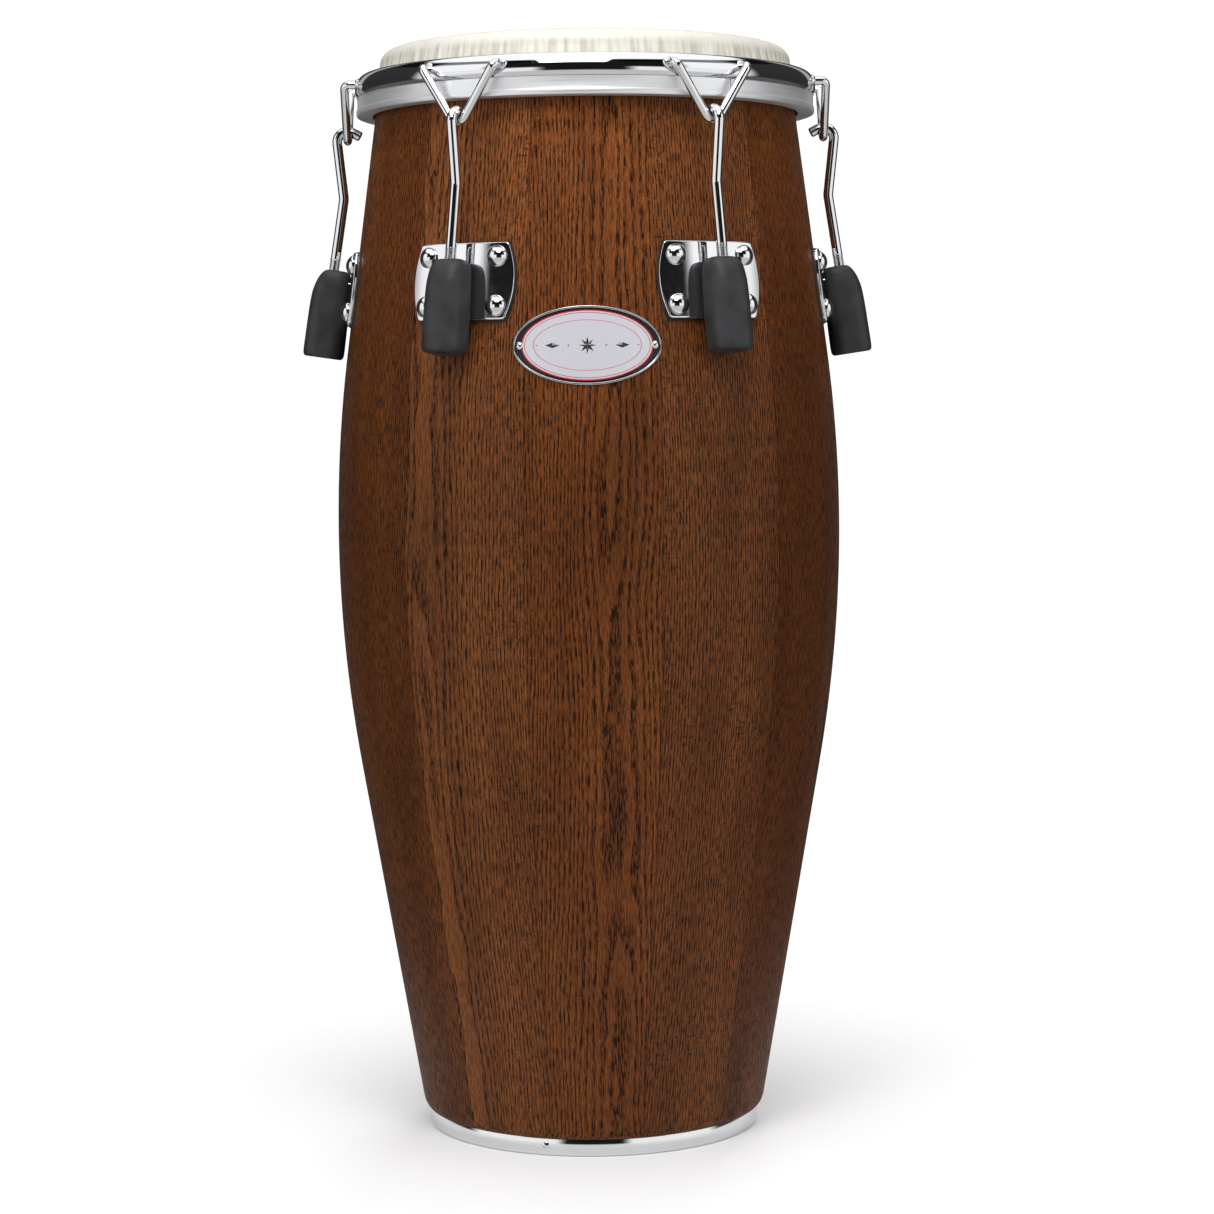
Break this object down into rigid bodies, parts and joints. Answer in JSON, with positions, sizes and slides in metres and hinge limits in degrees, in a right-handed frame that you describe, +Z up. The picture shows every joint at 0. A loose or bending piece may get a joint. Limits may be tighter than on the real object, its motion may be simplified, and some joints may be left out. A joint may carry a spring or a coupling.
{
  "type": "conga drum",
  "caption": "Single tall conga drum: barrel-shaped oak stave shell, pleated film head, chromed rim with V-loops, and tuning hooks held by side plates with rubber boots.",
  "frame": {"origin": "centre of the foot, on the floor plane", "axes": "+Z up the drum's axis; the badge faces -Y"},
  "size_m": [0.4052, 0.36, 0.7592],
  "materials": {
    "oak": "dark brown stain, semi-gloss lacquer over open grain",
    "film": "cream polyester film, satin, pleated collar",
    "satin_aluminium": "satin, brushed around the hoop",
    "chrome": "polished chrome plate on steel",
    "zinc_steel": "zinc plate, dull",
    "black_rubber": "matte moulded rubber",
    "badge_plate": "pressed plate, silver with a polished edge and coloured pinstripe"
  },
  "bodies": {
    "shell": {"stave_1": "oak", "stave_2": "oak", "stave_3": "oak", "stave_4": "oak", "stave_5": "oak", "stave_6": "oak", "stave_7": "oak", "stave_8": "oak", "stave_9": "oak", "stave_10": "oak", "stave_11": "oak", "stave_12": "oak", "bottom_band": "chrome", "band_screws": "chrome", "plate_bolts": "chrome", "bolt_washers": "zinc_steel", "bolt_nuts": "zinc_steel", "nut_washers": "zinc_steel", "badge": "badge_plate", "badge_nails": "chrome", "drumhead": "film", "side_plate_1": "chrome", "side_plate_2": "chrome", "side_plate_3": "chrome", "side_plate_4": "chrome", "side_plate_5": "chrome", "side_plate_6": "chrome", "plate_gasket_1": "black_rubber", "plate_gasket_2": "black_rubber", "plate_gasket_3": "black_rubber", "plate_gasket_4": "black_rubber", "plate_gasket_5": "black_rubber", "plate_gasket_6": "black_rubber", "rubber_boot_1": "black_rubber", "rubber_boot_2": "black_rubber", "rubber_boot_3": "black_rubber", "rubber_boot_4": "black_rubber", "rubber_boot_5": "black_rubber", "rubber_boot_6": "black_rubber"},
    "rim": {"rim": "chrome", "flesh_hoop": "satin_aluminium", "drumhead_collar": "film", "v_loop_1": "chrome", "v_loop_2": "chrome", "v_loop_3": "chrome", "v_loop_4": "chrome", "v_loop_5": "chrome", "v_loop_6": "chrome"},
    "hook_1": {"tuning_hook_1": "chrome"},
    "nut_1": {"tuning_nut_1": "zinc_steel"},
    "hook_2": {"tuning_hook_2": "chrome"},
    "nut_2": {"tuning_nut_2": "zinc_steel"},
    "hook_3": {"tuning_hook_3": "chrome"},
    "nut_3": {"tuning_nut_3": "zinc_steel"},
    "hook_4": {"tuning_hook_4": "chrome"},
    "nut_4": {"tuning_nut_4": "zinc_steel"},
    "hook_5": {"tuning_hook_5": "chrome"},
    "nut_5": {"tuning_nut_5": "zinc_steel"},
    "hook_6": {"tuning_hook_6": "chrome"},
    "nut_6": {"tuning_nut_6": "zinc_steel"}
  },
  "joints": [
    {"name": "rim_slide", "type": "slide", "parent": "shell", "child": "rim", "axis": [0, 0, 1], "range_m": [-0.004, 0.003], "deforming": ["drumhead_collar"]},
    {"name": "hook_slide_1", "type": "slide", "parent": "shell", "child": "hook_1", "axis": [-0.1477, 0, 0.989], "range_m": [-0.00405, 0.00304]},
    {"name": "nut_turn_1", "type": "hinge", "parent": "shell", "child": "nut_1", "pos_m": [0.18254, 0, 0.5895], "axis": [-0.1477, 0, 0.989], "range_deg": [-776, 1034]},
    {"name": "hook_slide_2", "type": "slide", "parent": "shell", "child": "hook_2", "axis": [-0.0739, -0.1279, 0.989], "range_m": [-0.00405, 0.00304]},
    {"name": "nut_turn_2", "type": "hinge", "parent": "shell", "child": "nut_2", "pos_m": [0.09127, 0.15808, 0.5895], "axis": [-0.0739, -0.1279, 0.989], "range_deg": [-776, 1034]},
    {"name": "hook_slide_3", "type": "slide", "parent": "shell", "child": "hook_3", "axis": [0.0739, -0.1279, 0.989], "range_m": [-0.00405, 0.00304]},
    {"name": "nut_turn_3", "type": "hinge", "parent": "shell", "child": "nut_3", "pos_m": [-0.09127, 0.15808, 0.5895], "axis": [0.0739, -0.1279, 0.989], "range_deg": [-776, 1034]},
    {"name": "hook_slide_4", "type": "slide", "parent": "shell", "child": "hook_4", "axis": [0.1477, 0, 0.989], "range_m": [-0.00405, 0.00304]},
    {"name": "nut_turn_4", "type": "hinge", "parent": "shell", "child": "nut_4", "pos_m": [-0.18254, 0, 0.5895], "axis": [0.1477, 0, 0.989], "range_deg": [-776, 1034]},
    {"name": "hook_slide_5", "type": "slide", "parent": "shell", "child": "hook_5", "axis": [0.0739, 0.1279, 0.989], "range_m": [-0.00405, 0.00304]},
    {"name": "nut_turn_5", "type": "hinge", "parent": "shell", "child": "nut_5", "pos_m": [-0.09127, -0.15808, 0.5895], "axis": [0.0739, 0.1279, 0.989], "range_deg": [-776, 1034]},
    {"name": "hook_slide_6", "type": "slide", "parent": "shell", "child": "hook_6", "axis": [-0.0739, 0.1279, 0.989], "range_m": [-0.00405, 0.00304]},
    {"name": "nut_turn_6", "type": "hinge", "parent": "shell", "child": "nut_6", "pos_m": [0.09127, -0.15808, 0.5895], "axis": [-0.0739, 0.1279, 0.989], "range_deg": [-776, 1034]}
  ],
  "couplings": [
    {"joint": "hook_slide_1", "follows": "rim_slide", "ratio": 1.0111},
    {"joint": "nut_turn_1", "follows": "rim_slide", "rad_per_m": -4502.1},
    {"joint": "hook_slide_2", "follows": "rim_slide", "ratio": 1.0111},
    {"joint": "nut_turn_2", "follows": "rim_slide", "rad_per_m": -4502.1},
    {"joint": "hook_slide_3", "follows": "rim_slide", "ratio": 1.0111},
    {"joint": "nut_turn_3", "follows": "rim_slide", "rad_per_m": -4502.1},
    {"joint": "hook_slide_4", "follows": "rim_slide", "ratio": 1.0111},
    {"joint": "nut_turn_4", "follows": "rim_slide", "rad_per_m": -4502.1},
    {"joint": "hook_slide_5", "follows": "rim_slide", "ratio": 1.0111},
    {"joint": "nut_turn_5", "follows": "rim_slide", "rad_per_m": -4502.1},
    {"joint": "hook_slide_6", "follows": "rim_slide", "ratio": 1.0111},
    {"joint": "nut_turn_6", "follows": "rim_slide", "rad_per_m": -4502.1}
  ]
}
